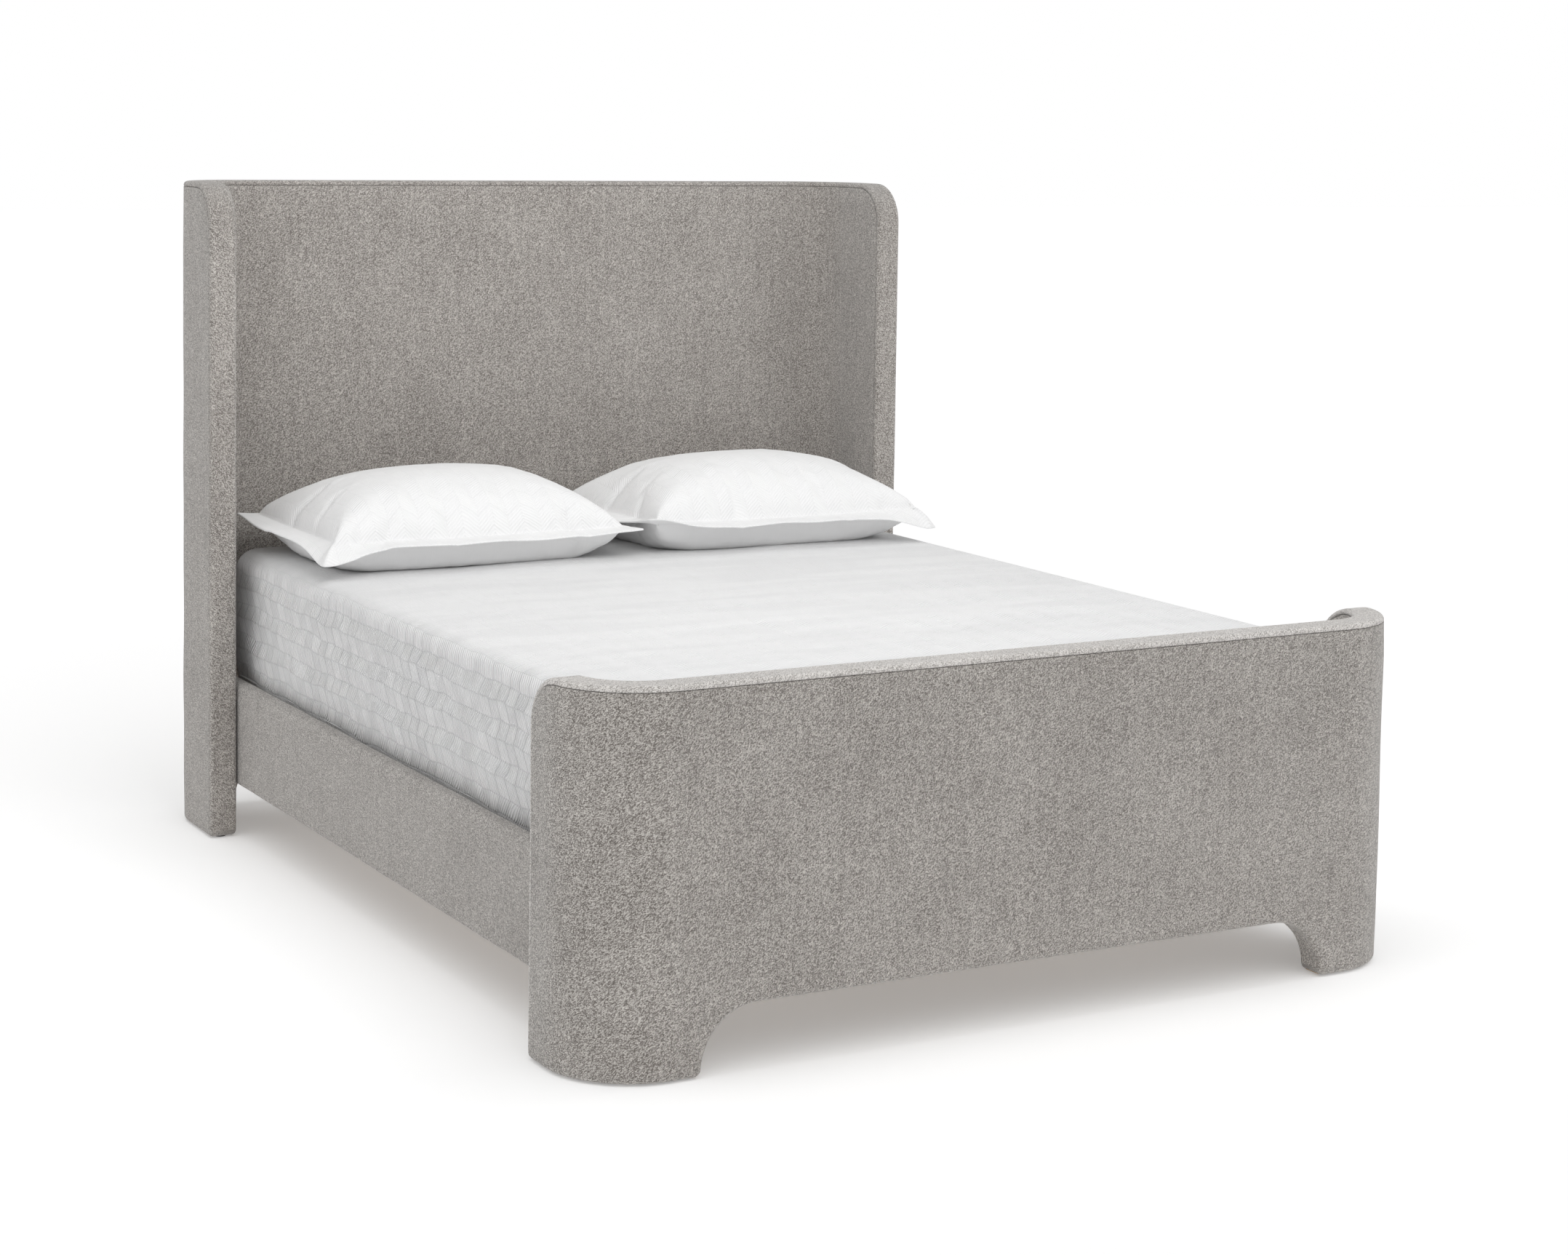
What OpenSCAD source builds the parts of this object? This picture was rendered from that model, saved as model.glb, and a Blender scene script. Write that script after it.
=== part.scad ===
// Queen bed with a winged, upholstered headboard and a low winged footboard.
// +Y points to the head of the bed, +Z is up, and the origin is on the floor
// under the middle of the bed.

/* [Overall] */
// Width over both wings
bed_w = 1740; // [1700:10:2100]
// Length from the footboard's front to the headboard's back
bed_l = 2236; // [2220:2:2800]
// Height of the headboard
head_h = 1436; // [900:2:1800]
// Height of the footboard
foot_h = 668; // [480:2:820]

/* [Panels] */
// Thickness of an upholstered panel
panel_t = 60; // [56:1:80]
// How far the headboard's wings reach forward from its back
head_wing = 321; // [260:1:400]
// How far the footboard's wings reach back from its front
foot_wing = 229; // [215:1:300]
// Radius of a panel's corners, seen from above
corner_r = 160; // [130:1:190]
// Radius of the wings' top corners, seen from the side
wing_top_r = 95; // [40:1:120]
// Height of the cut-out under each panel
arch_h = 116; // [80:1:124]
// Radius of the cut-out's top corners
arch_r = 106; // [20:1:112]
// Width of a footboard foot at the floor
foot_len = 217; // [200:1:260]
// Width of a headboard foot at the floor
head_foot_len = 140; // [125:1:190]
// Distance from the footboard's crown to its seam
band_drop = 11; // [6:1:20]

/* [Panel layers] */
// Thickness of the upholstery fabric
cover_t = 2; // [1.5:0.5:3]
// Thickness of the foam on each face
foam_t = 10; // [6:1:14]
// Thickness of the bent plywood skins
skin_t = 5; // [4:1:8]
// Thickness of a plywood rib
rib_t = 18; // [12:1:24]
// Width of a post
post_w = 44; // [38:1:44]
// Depth of the studs in the wing tips
stud_d = 30; // [24:1:32]
// Height of the nail-on glides
glide_h = 4; // [3:1:8]

/* [Side rails] */
// Underside of the rails above the floor
rail_z = 114; // [90:1:140]
// Height of an upholstered rail
rail_h = 224; // [200:1:240]
// Thickness of an upholstered rail
rail_t = 37; // [34:1:44]
// Thickness of the rail's board
board_t = 22; // [18:1:24]
// Gap between a rail and the wing beside it
rail_gap = 4; // [3:0.5:8]
// Width of the ledger cleats
cleat_w = 26; // [20:1:36]
// Height of the ledger cleats
cleat_h = 35; // [25:1:45]

/* [Slats and centre support] */
// Number of slats
slat_count = 12; // [8:1:13]
// Width of a slat
slat_w = 70; // [60:1:90]
// Thickness of a slat
slat_t = 18; // [15:1:22]
// Side of the square centre beam
beam_w = 40; // [30:1:50]
// Wall of the beam
beam_wall = 2; // [1.5:0.5:3]
// Side of a centre leg
leg_w = 40; // [30:1:50]
// Distance of the centre legs from the middle
leg_y = 480; // [300:10:700]
// Radius of a leveller's threaded stem
stem_r = 4; // [3:0.5:5]
// How far a leveller can be screwed out
leveller_travel = 14; // [6:1:20]

/* [Bedding] */
// Gap between the coverlet and a rail
side_gap = 2; // [1:1:20]
// Gap between the mattress and the footboard
foot_gap = 8; // [6:1:60]
// Gap between the mattress and the headboard
head_gap = 76; // [20:2:200]
// Thickness of the mattress
mattress_h = 300; // [220:5:320]
// Thickness of the coverlet
coverlet_t = 5; // [3:0.5:7]
// Radius of the mattress corners, seen from above
mattress_r = 60; // [40:5:90]
// Width of a pillow sham over its flanges
sham_w = 746; // [600:2:750]
// Depth of a pillow sham over its flanges
sham_d = 560; // [480:2:600]
// Width of the flange round a sham
flange_w = 50; // [30:1:60]
// Thickness of a plump pillow
pillow_h = 200; // [140:5:240]

/* [Hidden] */
$fn = 96;

fabric_color = [0.63, 0.61, 0.58];
foam_color = [0.93, 0.88, 0.70];
ply_color = [0.80, 0.66, 0.45];
pine_color = [0.87, 0.74, 0.53];
steel_color = [0.30, 0.31, 0.33];
zinc_color = [0.74, 0.75, 0.77];
nylon_color = [0.16, 0.16, 0.17];
white_color = [0.95, 0.95, 0.94];

eps = 0.01;
big = 4000;                                    // longer than the bed
wall_y = bed_l / 2;                            // outer face of either panel
inner_y = wall_y - panel_t;                    // face of either panel towards the mattress
skin_in = cover_t + foam_t;                    // outer face of the wooden core, from outside
rib_in = skin_in + skin_t;
rib_out = panel_t - rib_in;
core_out = panel_t - skin_in;
arch_grow = 6;                                 // the core stays this far above the cut-out
board_foam_t = 12;                             // foam over the top of a rail's board
block_room = 27;                               // depth kept for the rail blocks beside a panel's bend
block_inset = 14;                              // the rail blocks stop this far inside the rail's height
screw_in = 20;                                 // depth of the plate screws
bracket_screw_in = 34;                         // depth of the bracket screws
bracket_screw_x = 34;                          // their distance from the middle
bracket_w = 90;
bracket_reach = 45;                            // how far a saddle reaches along the beam
slat_end_gap = 45;                             // last slat's middle from the rail's end
slat_gap = 3;                                  // play at a slat's ends
slat_drop = 28;                                // top of the slats below the top of the rails
strap_x = 400;                                 // the straps' distance from the middle
strap_w = 30;
strap_t = 1.5;
pillow_gap = 12;                               // gap between the two shams
pillow_back = 362;                             // a pillow's middle from the headboard
glide_r = 12;

rail_out_x = bed_w / 2 - panel_t - rail_gap;   // outer face of a rail
rail_in_x = rail_out_x - rail_t;               // face of a rail towards the mattress
rail_top = rail_z + rail_h;
board_in_x = rail_in_x + cover_t;
board_x = board_in_x + board_t / 2;            // middle of the rail's board
board_top = rail_top - cover_t - board_foam_t;
board_bottom = rail_z + cover_t;

plate_t = 3;                                   // steel slot plates and brackets
block_y = inner_y - corner_r + panel_t + block_room;
rail_end = block_y - plate_t;                  // the rails stop at the slot plates
block_z = [rail_z + block_inset, rail_top - block_inset];
hook_z = [rail_z + 42, rail_z + 132];          // notch floors of the two hooks
hook_out = 14;                                 // a hook's reach past the rail's end
hook_up = 12;                                  // its height above the notch
hook_lip = 10;                                 // its drop behind the slot plate
hook_tail = 62;                                // length let into the rail's end
slot_w = 5;
slot_h = hook_up + hook_lip + 2;               // tall enough to lift the hook out

slat_z = rail_top - slat_drop - slat_t;         // underside of the slats
cleat_top = slat_z;
mattress_z = slat_z + slat_t;
mattress_top = mattress_z + mattress_h;
mattress_w = 2 * (rail_in_x - side_gap - coverlet_t);
mattress_l = 2 * inner_y - foot_gap - head_gap;
mattress_y = (foot_gap - head_gap) / 2;        // the mattress lies close to the footboard
slat_run = rail_end - slat_end_gap;            // first and last slat from the middle
slat_l = 2 * (rail_in_x - slat_gap);
coverlet_top = mattress_top + coverlet_t;

beam_z = slat_z - beam_w;
beam_l = 2 * (inner_y - plate_t) - 4;
leg_base = 8;                                  // the legs stand on the levellers' pads
stem_hold = 28;                                // the stem's length left in its leg when screwed right out
leg_bore = stem_r + 0.3;
bracket_h = 70;
bracket_screw_z = beam_z + beam_w / 2 - 1;

rib_zs_head = [arch_h + 10, bracket_screw_z - rib_t / 2, 800, head_h - skin_in - rib_t];
rib_zs_foot = [arch_h + 10, bracket_screw_z - rib_t / 2, foot_h - skin_in - rib_t];
post_x = bed_w / 2 - foot_len + 13 + post_w / 2;

pillow_x = (sham_w + pillow_gap) / 2;
pillow_y = inner_y - pillow_back;
pillow_z = coverlet_top + 0.6;
sham_t = 2;
seam_z = 62;                                   // height of a sham's flange above its underside

sides = [-1, 1];

// ---------- shared shapes ----------

// Plan of a winged panel at the head, inset by t, with its tips inset by tip.
module plan(depth, t, tip) {
    r = corner_r - t;
    half = bed_w / 2 - t;
    front = wall_y - depth + tip;
    translate([-half, front]) square([2 * half, wall_y - t - r - front]);
    translate([-half + r, front]) square([2 * (half - r), wall_y - t - front]);
    for (s = sides) translate([s * (half - r), wall_y - t - r]) circle(r);
}

// Side outline of a panel, inset by i, with the wing's rounded top corner.
module side(depth, h, i) {
    r = wing_top_r - i;
    tip = wall_y - depth + i;
    translate([tip, -50]) square([depth + 100, h - i - r + 50]);
    translate([tip + r, -50]) square([depth + 100, h - i + 50]);
    translate([tip + r, h - i - r]) circle(r);
}

module side_block(depth, h, i) {
    translate([-big / 2, 0, 0]) rotate([90, 0, 90]) linear_extrude(big) side(depth, h, i);
}

// Opening between a panel's feet, grown by g.
module arch(leg, g) {
    half = bed_w / 2 - leg + g;
    r = arch_r + g;
    top = arch_h + g;
    translate([0, wall_y + 50, 0]) rotate([90, 0, 0]) linear_extrude(panel_t + 120) {
        translate([-half, -50]) square([2 * half, top - r + 50]);
        translate([-half + r, -50]) square([2 * (half - r), top + 50]);
        for (s = sides) translate([s * (half - r), top - r]) circle(r);
    }
}

// Upright band between two insets of the plan, from z0 up.
module band(depth, t0, t1, tip, z0) {
    translate([0, 0, z0]) linear_extrude(big / 2) difference() {
        plan(depth, t0, tip);
        plan(depth, t1, -50);
    }
}

// A closed layer of a panel: everything of the panel at least i inside its outside.
module layer(depth, h, leg, i, z0) {
    difference() {
        intersection() {
            band(depth, i, panel_t - i, i, z0);
            side_block(depth, h, i);
        }
        arch(leg, i / 2);
    }
}

module panel_shell(depth, h, leg) {
    difference() {
        layer(depth, h, leg, 0, glide_h);
        layer(depth, h, leg, cover_t, 0);
    }
}

module panel_foam(depth, h, leg) {
    difference() {
        layer(depth, h, leg, cover_t, glide_h);
        layer(depth, h, leg, skin_in, 0);
    }
}

// A bent sheet of the core, between two insets.
module core_band(depth, h, leg, t0, t1) {
    difference() {
        intersection() {
            band(depth, t0, t1, skin_in, glide_h);
            side_block(depth, h, skin_in);
        }
        arch(leg, arch_grow);
    }
}

module posts_at(side_x, z0) {
    translate([side_x * post_x - post_w / 2, wall_y - rib_out, z0])
        cube([post_w, rib_out - rib_in, big / 2]);
}

module post(side_x, depth, h, leg) {
    intersection() {
        core_band(depth, h, leg, rib_in, rib_out);
        posts_at(side_x, 0);
        translate([-big / 2, 0, 0]) cube([big, big, h - skin_in - rib_t]);
    }
}

module stud_room(depth) {
    translate([-big / 2, wall_y - depth, 0])
        cube([big, skin_in + stud_d, big / 2]);
}

module studs(depth, h, leg) {
    intersection() {
        core_band(depth, h, leg, rib_in, rib_out);
        stud_room(depth);
    }
}

module rib(depth, h, leg, z, top) {
    difference() {
        intersection() {
            core_band(depth, h, leg, rib_in, rib_out);
            translate([-big / 2, 0, z]) cube([big, big, rib_t]);
        }
        stud_room(depth);
        if (!top) for (s = sides) posts_at(s, 0);
        bracket_screws_at(2);
    }
}

// The plates that close a panel's feet, from the arch to the studs.
module foot_plates(depth, h, leg) {
    difference() {
        intersection() {
            core_band(depth, h, leg, rib_in, rib_out);
            translate([-big / 2, 0, 0]) cube([big, big, glide_h + rib_t]);
        }
        stud_room(depth);
        for (s = sides) posts_at(s, 0);
    }
}

module glides(depth) {
    mid = panel_t / 2;
    bend = (corner_r - mid) / sqrt(2);
    for (s = sides) {
        translate([s * (bed_w / 2 - mid), wall_y - depth + skin_in + stud_d / 2, 0]) cylinder(glide_h, r = glide_r);
        translate([s * (bed_w / 2 - corner_r + bend), wall_y - corner_r + bend, 0]) cylinder(glide_h, r = glide_r);
    }
}

// Hardwood blocks in a panel's inner corners, which carry the slot plates.
module rail_blocks() {
    difference() {
        intersection() {
            for (s = sides)
                translate([s > 0 ? rail_in_x + 1 : -rail_out_x, block_y, block_z[0]])
                    cube([rail_t - 1, corner_r, block_z[1] - block_z[0]]);
            linear_extrude(big / 2) plan(corner_r + 200, panel_t, 0);
        }
        for (s = sides, z = hook_z)
            translate([s * board_x - slot_w / 2, block_y - eps, z - hook_lip - 2])
                cube([slot_w, hook_out + 3, slot_h + hook_lip + 3]);
        plate_screws_at(2);
    }
}

module slot_plates() {
    difference() {
        for (s = sides)
            translate([s * board_x - 10, rail_end, hook_z[0] - 30])
                cube([20, plate_t, hook_z[1] - hook_z[0] + 84]);
        for (s = sides, z = hook_z)
            translate([s * board_x - slot_w / 2, rail_end - eps, z])
                cube([slot_w, plate_t + 2 * eps, slot_h]);
        plate_screws_at(2);
    }
}

module plate_screws_at(r) {
    for (s = sides, z = [hook_z[0] - 20, hook_z[0] + 40, hook_z[1] + 42])
        translate([s * board_x, block_y + screw_in, z]) rotate([90, 0, 0]) cylinder(screw_in + plate_t, r = r);
}

module bracket_screws_at(r) {
    for (s = sides)
        translate([s * bracket_screw_x, inner_y + bracket_screw_in, bracket_screw_z]) rotate([90, 0, 0])
            cylinder(bracket_screw_in + plate_t, r = r);
}

module hook_plate() {
    y0 = rail_end;
    translate([board_x - 1.5, 0, 0]) rotate([90, 0, 90]) linear_extrude(3) {
        translate([y0 - hook_tail, hook_z[0] - 18]) square([hook_tail, hook_z[1] - hook_z[0] + 48]);
        for (z = hook_z) {
            translate([y0 - eps, z]) square([hook_out, hook_up]);
            translate([y0 + plate_t + 0.4, z - hook_lip])
                square([hook_out - plate_t - 0.4, hook_lip + hook_up]);
        }
    }
}

module hook_room() {
    translate([board_x - 1.5, rail_end - hook_tail, hook_z[0] - 18])
        cube([3, hook_tail + 1, hook_z[1] - hook_z[0] + 48]);
}

module bolts_at(r) {
    for (e = sides, dy = [18, 46])
        translate([board_in_x, e * (rail_end - dy), (hook_z[0] + hook_z[1]) / 2 + (dy > 30 ? 40 : -35)])
            rotate([0, 90, 0]) cylinder(board_t - 2, r = r);
}

module cleat_screws_at(r) {
    for (y = [-900:300:900])
        translate([rail_in_x - cleat_w, y, cleat_top - cleat_h / 2]) rotate([0, 90, 0])
            cylinder(cleat_w + 16, r = r);
}

// y of every slat
slat_ys = [for (i = [0:slat_count - 1]) -slat_run + 2 * slat_run * i / (slat_count - 1)];

module slat_screws_at(r) {
    for (y = slat_ys, s = sides)
        translate([s * (rail_in_x - cleat_w / 2 - 2), y, slat_z - 16]) cylinder(slat_t + 16, r = r);
}

module mirrored_to(side_x) {
    if (side_x < 0) mirror([1, 0, 0]) children();
    else children();
}

module at_foot() {
    mirror([0, 1, 0]) children();
}

// ---------- headboard ----------

module headboard_cover() {
    color(fabric_color) difference() {
        panel_shell(head_wing, head_h, head_foot_len);
        bracket_screws_at(2);
    }
}

module headboard_foam() {
    color(foam_color) difference() {
        panel_foam(head_wing, head_h, head_foot_len);
        bracket_screws_at(2);
    }
}

module headboard_back_skin() {
    color(ply_color) core_band(head_wing, head_h, head_foot_len, skin_in, rib_in);
}

module headboard_front_skin() {
    color(ply_color) difference() {
        core_band(head_wing, head_h, head_foot_len, rib_out, core_out);
        bracket_screws_at(2);
    }
}

module headboard_post(side_x) {
    color(pine_color) difference() {
        post(side_x, head_wing, head_h, head_foot_len);
        headboard_low_cut();
    }
}

// The headboard's posts start at its lowest rib, because its feet are narrower.
module headboard_low_cut() {
    translate([-big / 2, 0, -1]) cube([big, big, rib_zs_head[0] + 1]);
}

module headboard_studs() {
    color(pine_color) studs(head_wing, head_h, head_foot_len);
}

module headboard_rib(i) {
    color(ply_color) rib(head_wing, head_h, head_foot_len, rib_zs_head[i - 1], i == 4);
}

module headboard_foot_plates() {
    color(ply_color) foot_plates(head_wing, head_h, head_foot_len);
}

module headboard_glides() {
    color(nylon_color) glides(head_wing);
}

module headboard_rail_blocks() {
    color(pine_color) rail_blocks();
}

module headboard_slot_plates() {
    color(zinc_color) slot_plates();
}

// ---------- footboard ----------

module footboard_cover() {
    color(fabric_color) at_foot() difference() {
        intersection() {
            panel_shell(foot_wing, foot_h, foot_len);
            side_block(foot_wing, foot_h, band_drop);
        }
        bracket_screws_at(2);
    }
}

module footboard_top_band() {
    color(fabric_color) at_foot() difference() {
        panel_shell(foot_wing, foot_h, foot_len);
        side_block(foot_wing, foot_h, band_drop);
    }
}

module footboard_foam() {
    color(foam_color) at_foot() difference() {
        panel_foam(foot_wing, foot_h, foot_len);
        bracket_screws_at(2);
    }
}

module footboard_front_skin() {
    color(ply_color) at_foot() core_band(foot_wing, foot_h, foot_len, skin_in, rib_in);
}

module footboard_back_skin() {
    color(ply_color) at_foot() difference() {
        core_band(foot_wing, foot_h, foot_len, rib_out, core_out);
        bracket_screws_at(2);
    }
}

module footboard_post(side_x) {
    color(pine_color) at_foot() post(side_x, foot_wing, foot_h, foot_len);
}

module footboard_studs() {
    color(pine_color) at_foot() studs(foot_wing, foot_h, foot_len);
}

module footboard_rib(i) {
    color(ply_color) at_foot() rib(foot_wing, foot_h, foot_len, rib_zs_foot[i - 1], i == 3);
}

module footboard_foot_plates() {
    color(ply_color) at_foot() foot_plates(foot_wing, foot_h, foot_len);
}

module footboard_glides() {
    color(nylon_color) at_foot() glides(foot_wing);
}

module footboard_rail_blocks() {
    color(pine_color) at_foot() rail_blocks();
}

module footboard_slot_plates() {
    color(zinc_color) at_foot() slot_plates();
}

// ---------- side rails ----------

module rail_board(side_x) {
    color(pine_color) mirrored_to(side_x) difference() {
        translate([board_in_x, -rail_end, board_bottom])
            cube([board_t, 2 * rail_end, board_top - board_bottom]);
        hook_room();
        at_foot() hook_room();
        bolts_at(3);
        cleat_screws_at(2);
    }
}

module rail_foam(side_x) {
    color(foam_color) mirrored_to(side_x) difference() {
        translate([board_in_x, -rail_end, board_bottom])
            cube([rail_t - 2 * cover_t, 2 * rail_end, rail_top - cover_t - board_bottom]);
        translate([board_in_x - 1, -rail_end - 1, board_bottom - 1])
            cube([board_t + 1, 2 * rail_end + 2, board_top - board_bottom + 1]);
    }
}

module rail_cover(side_x) {
    color(fabric_color) mirrored_to(side_x) difference() {
        translate([rail_in_x, -rail_end, rail_z]) cube([rail_t, 2 * rail_end, rail_h]);
        translate([board_in_x, -rail_end - 1, board_bottom])
            cube([rail_t - 2 * cover_t, 2 * rail_end + 2, rail_h - 2 * cover_t]);
        cleat_screws_at(2);
    }
}

module rail_cleat(side_x) {
    color(pine_color) mirrored_to(side_x) difference() {
        translate([rail_in_x - cleat_w, -rail_end + 5, cleat_top - cleat_h])
            cube([cleat_w, 2 * rail_end - 10, cleat_h]);
        cleat_screws_at(2);
        slat_screws_at(1.8);
    }
}

module rail_hooks(side_x) {
    color(zinc_color) mirrored_to(side_x) difference() {
        union() {
            hook_plate();
            at_foot() hook_plate();
        }
        bolts_at(3);
    }
}

// ---------- fasteners ----------

module rail_bolts() {
    color(zinc_color) for (s = sides) mirrored_to(s) bolts_at(3);
}

module plate_screws() {
    color(zinc_color) {
        plate_screws_at(2);
        bracket_screws_at(2);
        at_foot() {
            plate_screws_at(2);
            bracket_screws_at(2);
        }
    }
}

module cleat_screws() {
    color(zinc_color) for (s = sides) mirrored_to(s) cleat_screws_at(2);
}

module slat_screws() {
    color(zinc_color) slat_screws_at(1.8);
}

// ---------- centre support ----------

module center_beam() {
    color(steel_color) difference() {
        translate([-beam_w / 2, -beam_l / 2, beam_z]) cube([beam_w, beam_l, beam_w]);
        translate([-beam_w / 2 + beam_wall, -beam_l, beam_z + beam_wall])
            cube([beam_w - 2 * beam_wall, 2 * beam_l, beam_w - 2 * beam_wall]);
    }
}

// A steel saddle screwed to a panel, which holds an end of the beam.
module beam_bracket() {
    saddle = beam_w + 2 * plate_t + 1;
    color(zinc_color) difference() {
        union() {
            translate([-bracket_w / 2, inner_y - plate_t, bracket_screw_z - bracket_h / 2])
                cube([bracket_w, plate_t, bracket_h]);
            translate([-saddle / 2, inner_y - bracket_reach, beam_z - plate_t])
                cube([saddle, bracket_reach - plate_t + eps, beam_w - 6]);
        }
        translate([-beam_w / 2 - 0.5, inner_y - bracket_reach - 1, beam_z])
            cube([beam_w + 1, bracket_reach + 1 - plate_t, beam_w]);
        bracket_screws_at(2);
    }
}

module beam_bracket_head() {
    beam_bracket();
}

module beam_bracket_foot() {
    at_foot() beam_bracket();
}

module center_leg(i) {
    y = i == 1 ? -leg_y : leg_y;
    color(pine_color) difference() {
        translate([-leg_w / 2, y - leg_w / 2, leg_base]) cube([leg_w, leg_w, beam_z - leg_base]);
        translate([0, y, leg_base - 1]) cylinder(leveller_travel + stem_hold + 13, r = leg_bore);
    }
}

module leveller(i) {
    y = i == 1 ? -leg_y : leg_y;
    color(steel_color) translate([0, y, 0]) {
        cylinder(leg_base - 0.3, r = 16);
        cylinder(leg_base + leveller_travel + stem_hold, r = stem_r);
    }
}

// ---------- slats ----------

module slats() {
    color(pine_color) difference() {
        for (y = slat_ys)
            translate([-slat_l / 2, y - slat_w / 2, slat_z]) cube([slat_l, slat_w, slat_t]);
        slat_screws_at(1.8);
    }
}

// Two webbing straps stapled under the slats to keep their spacing.
module slat_straps() {
    color(white_color) for (s = sides)
        translate([s * strap_x - strap_w / 2, -slat_run - slat_w / 2, slat_z - strap_t])
            cube([strap_w, 2 * slat_run + slat_w, strap_t]);
}

// ---------- bedding ----------

module slab(w, l, r) {
    translate([0, mattress_y]) {
        square([w - 2 * r, l], center = true);
        square([w, l - 2 * r], center = true);
        for (sx = sides, sy = sides) translate([sx * (w / 2 - r), sy * (l / 2 - r)]) circle(r);
    }
}

module mattress() {
    color(white_color) translate([0, 0, mattress_z + 0.4])
        linear_extrude(mattress_h - 0.4) slab(mattress_w, mattress_l, mattress_r);
}

module coverlet() {
    color(white_color) difference() {
        translate([0, 0, mattress_z + 3]) linear_extrude(mattress_h - 3 + coverlet_t)
            slab(mattress_w + 2 * coverlet_t, mattress_l + 2 * coverlet_t, mattress_r + coverlet_t);
        translate([0, 0, mattress_z - 1]) linear_extrude(mattress_h + 1)
            slab(mattress_w, mattress_l, mattress_r);
    }
}

// A plump cushion form, shrunk by s all round. It is widest at the seam and domed above it.
module pillow_form(s) {
    w = sham_w - 2 * flange_w - 2 * s;
    d = sham_d - 2 * flange_w - 2 * s;
    h = pillow_h - 2 * s;
    rings = [[0, 0.56, 0.48], [seam_z / pillow_h, 1, 1], [0.78, 0.78, 0.72], [0.995, 0.36, 0.30]];
    translate([0, 0, s]) hull() for (k = rings)
        translate([0, 0, h * k[0]]) linear_extrude(h * 0.005) square([w * k[1], d * k[2]], center = true);
}

module pillow(side_x) {
    color(white_color) translate([side_x * pillow_x, pillow_y, pillow_z]) pillow_form(sham_t + 0.5);
}

// Quilted case with a flange round its edge and an envelope opening underneath.
module sham(side_x) {
    color(white_color) translate([side_x * pillow_x, pillow_y, pillow_z]) difference() {
        union() {
            pillow_form(0);
            translate([0, 0, seam_z]) cube([sham_w, sham_d, 5], center = true);
        }
        pillow_form(sham_t);
        cube([sham_w * 0.3, 6, pillow_h / 2], center = true);
    }
}

headboard_cover();
headboard_foam();
headboard_back_skin();
headboard_front_skin();
headboard_post(-1);  // headboard_left_post
headboard_post(1);  // headboard_right_post
headboard_studs();
headboard_rib(1);  // headboard_rib_1
headboard_rib(2);  // headboard_rib_2
headboard_rib(3);  // headboard_rib_3
headboard_rib(4);  // headboard_rib_4
headboard_foot_plates();
headboard_glides();
headboard_rail_blocks();
headboard_slot_plates();
footboard_cover();
footboard_top_band();
footboard_foam();
footboard_front_skin();
footboard_back_skin();
footboard_post(-1);  // footboard_left_post
footboard_post(1);  // footboard_right_post
footboard_studs();
footboard_rib(1);  // footboard_rib_1
footboard_rib(2);  // footboard_rib_2
footboard_rib(3);  // footboard_rib_3
footboard_foot_plates();
footboard_glides();
footboard_rail_blocks();
footboard_slot_plates();
rail_board(-1);  // left_rail_board
rail_board(1);  // right_rail_board
rail_foam(-1);  // left_rail_foam
rail_foam(1);  // right_rail_foam
rail_cover(-1);  // left_rail_cover
rail_cover(1);  // right_rail_cover
rail_cleat(-1);  // left_rail_cleat
rail_cleat(1);  // right_rail_cleat
rail_hooks(-1);  // left_rail_hooks
rail_hooks(1);  // right_rail_hooks
rail_bolts();
plate_screws();
cleat_screws();
slat_screws();
center_beam();
beam_bracket_head();
beam_bracket_foot();
center_leg(1);  // center_leg_1
center_leg(2);  // center_leg_2
leveller(1);  // leveller_1
leveller(2);  // leveller_2
slats();
slat_straps();
mattress();
coverlet();
pillow(-1);  // left_pillow
pillow(1);  // right_pillow
sham(-1);  // left_sham
sham(1);  // right_sham
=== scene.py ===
import math

import bmesh
import bpy
import numpy as np
from mathutils import Matrix, Vector


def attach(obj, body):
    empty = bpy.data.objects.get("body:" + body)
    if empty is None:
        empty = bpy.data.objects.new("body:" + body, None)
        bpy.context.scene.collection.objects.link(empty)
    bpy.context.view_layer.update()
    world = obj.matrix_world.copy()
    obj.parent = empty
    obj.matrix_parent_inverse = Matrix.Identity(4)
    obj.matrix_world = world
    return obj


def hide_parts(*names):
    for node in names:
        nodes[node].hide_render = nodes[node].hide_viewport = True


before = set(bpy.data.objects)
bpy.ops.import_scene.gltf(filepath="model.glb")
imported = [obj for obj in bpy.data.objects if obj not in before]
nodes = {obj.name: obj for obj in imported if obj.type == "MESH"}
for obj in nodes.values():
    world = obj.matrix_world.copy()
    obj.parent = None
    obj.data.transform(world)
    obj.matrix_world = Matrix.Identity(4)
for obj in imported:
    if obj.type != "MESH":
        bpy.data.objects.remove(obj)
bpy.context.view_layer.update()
print("bed frame loaded:", len(nodes), "parts")

cameraSetup = {
    "lens": 67.69,
    "sensor": 36.0,
    "place": (-2.8858, -5.3586, 1.5963),
    "turn": 0.5092,       # to the right of +Y
    "dip": 0.0789,        # below the horizon
    "roll": 0.0148,
    "drop": -0.1767,      # the view sits below the lens axis
}


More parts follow.
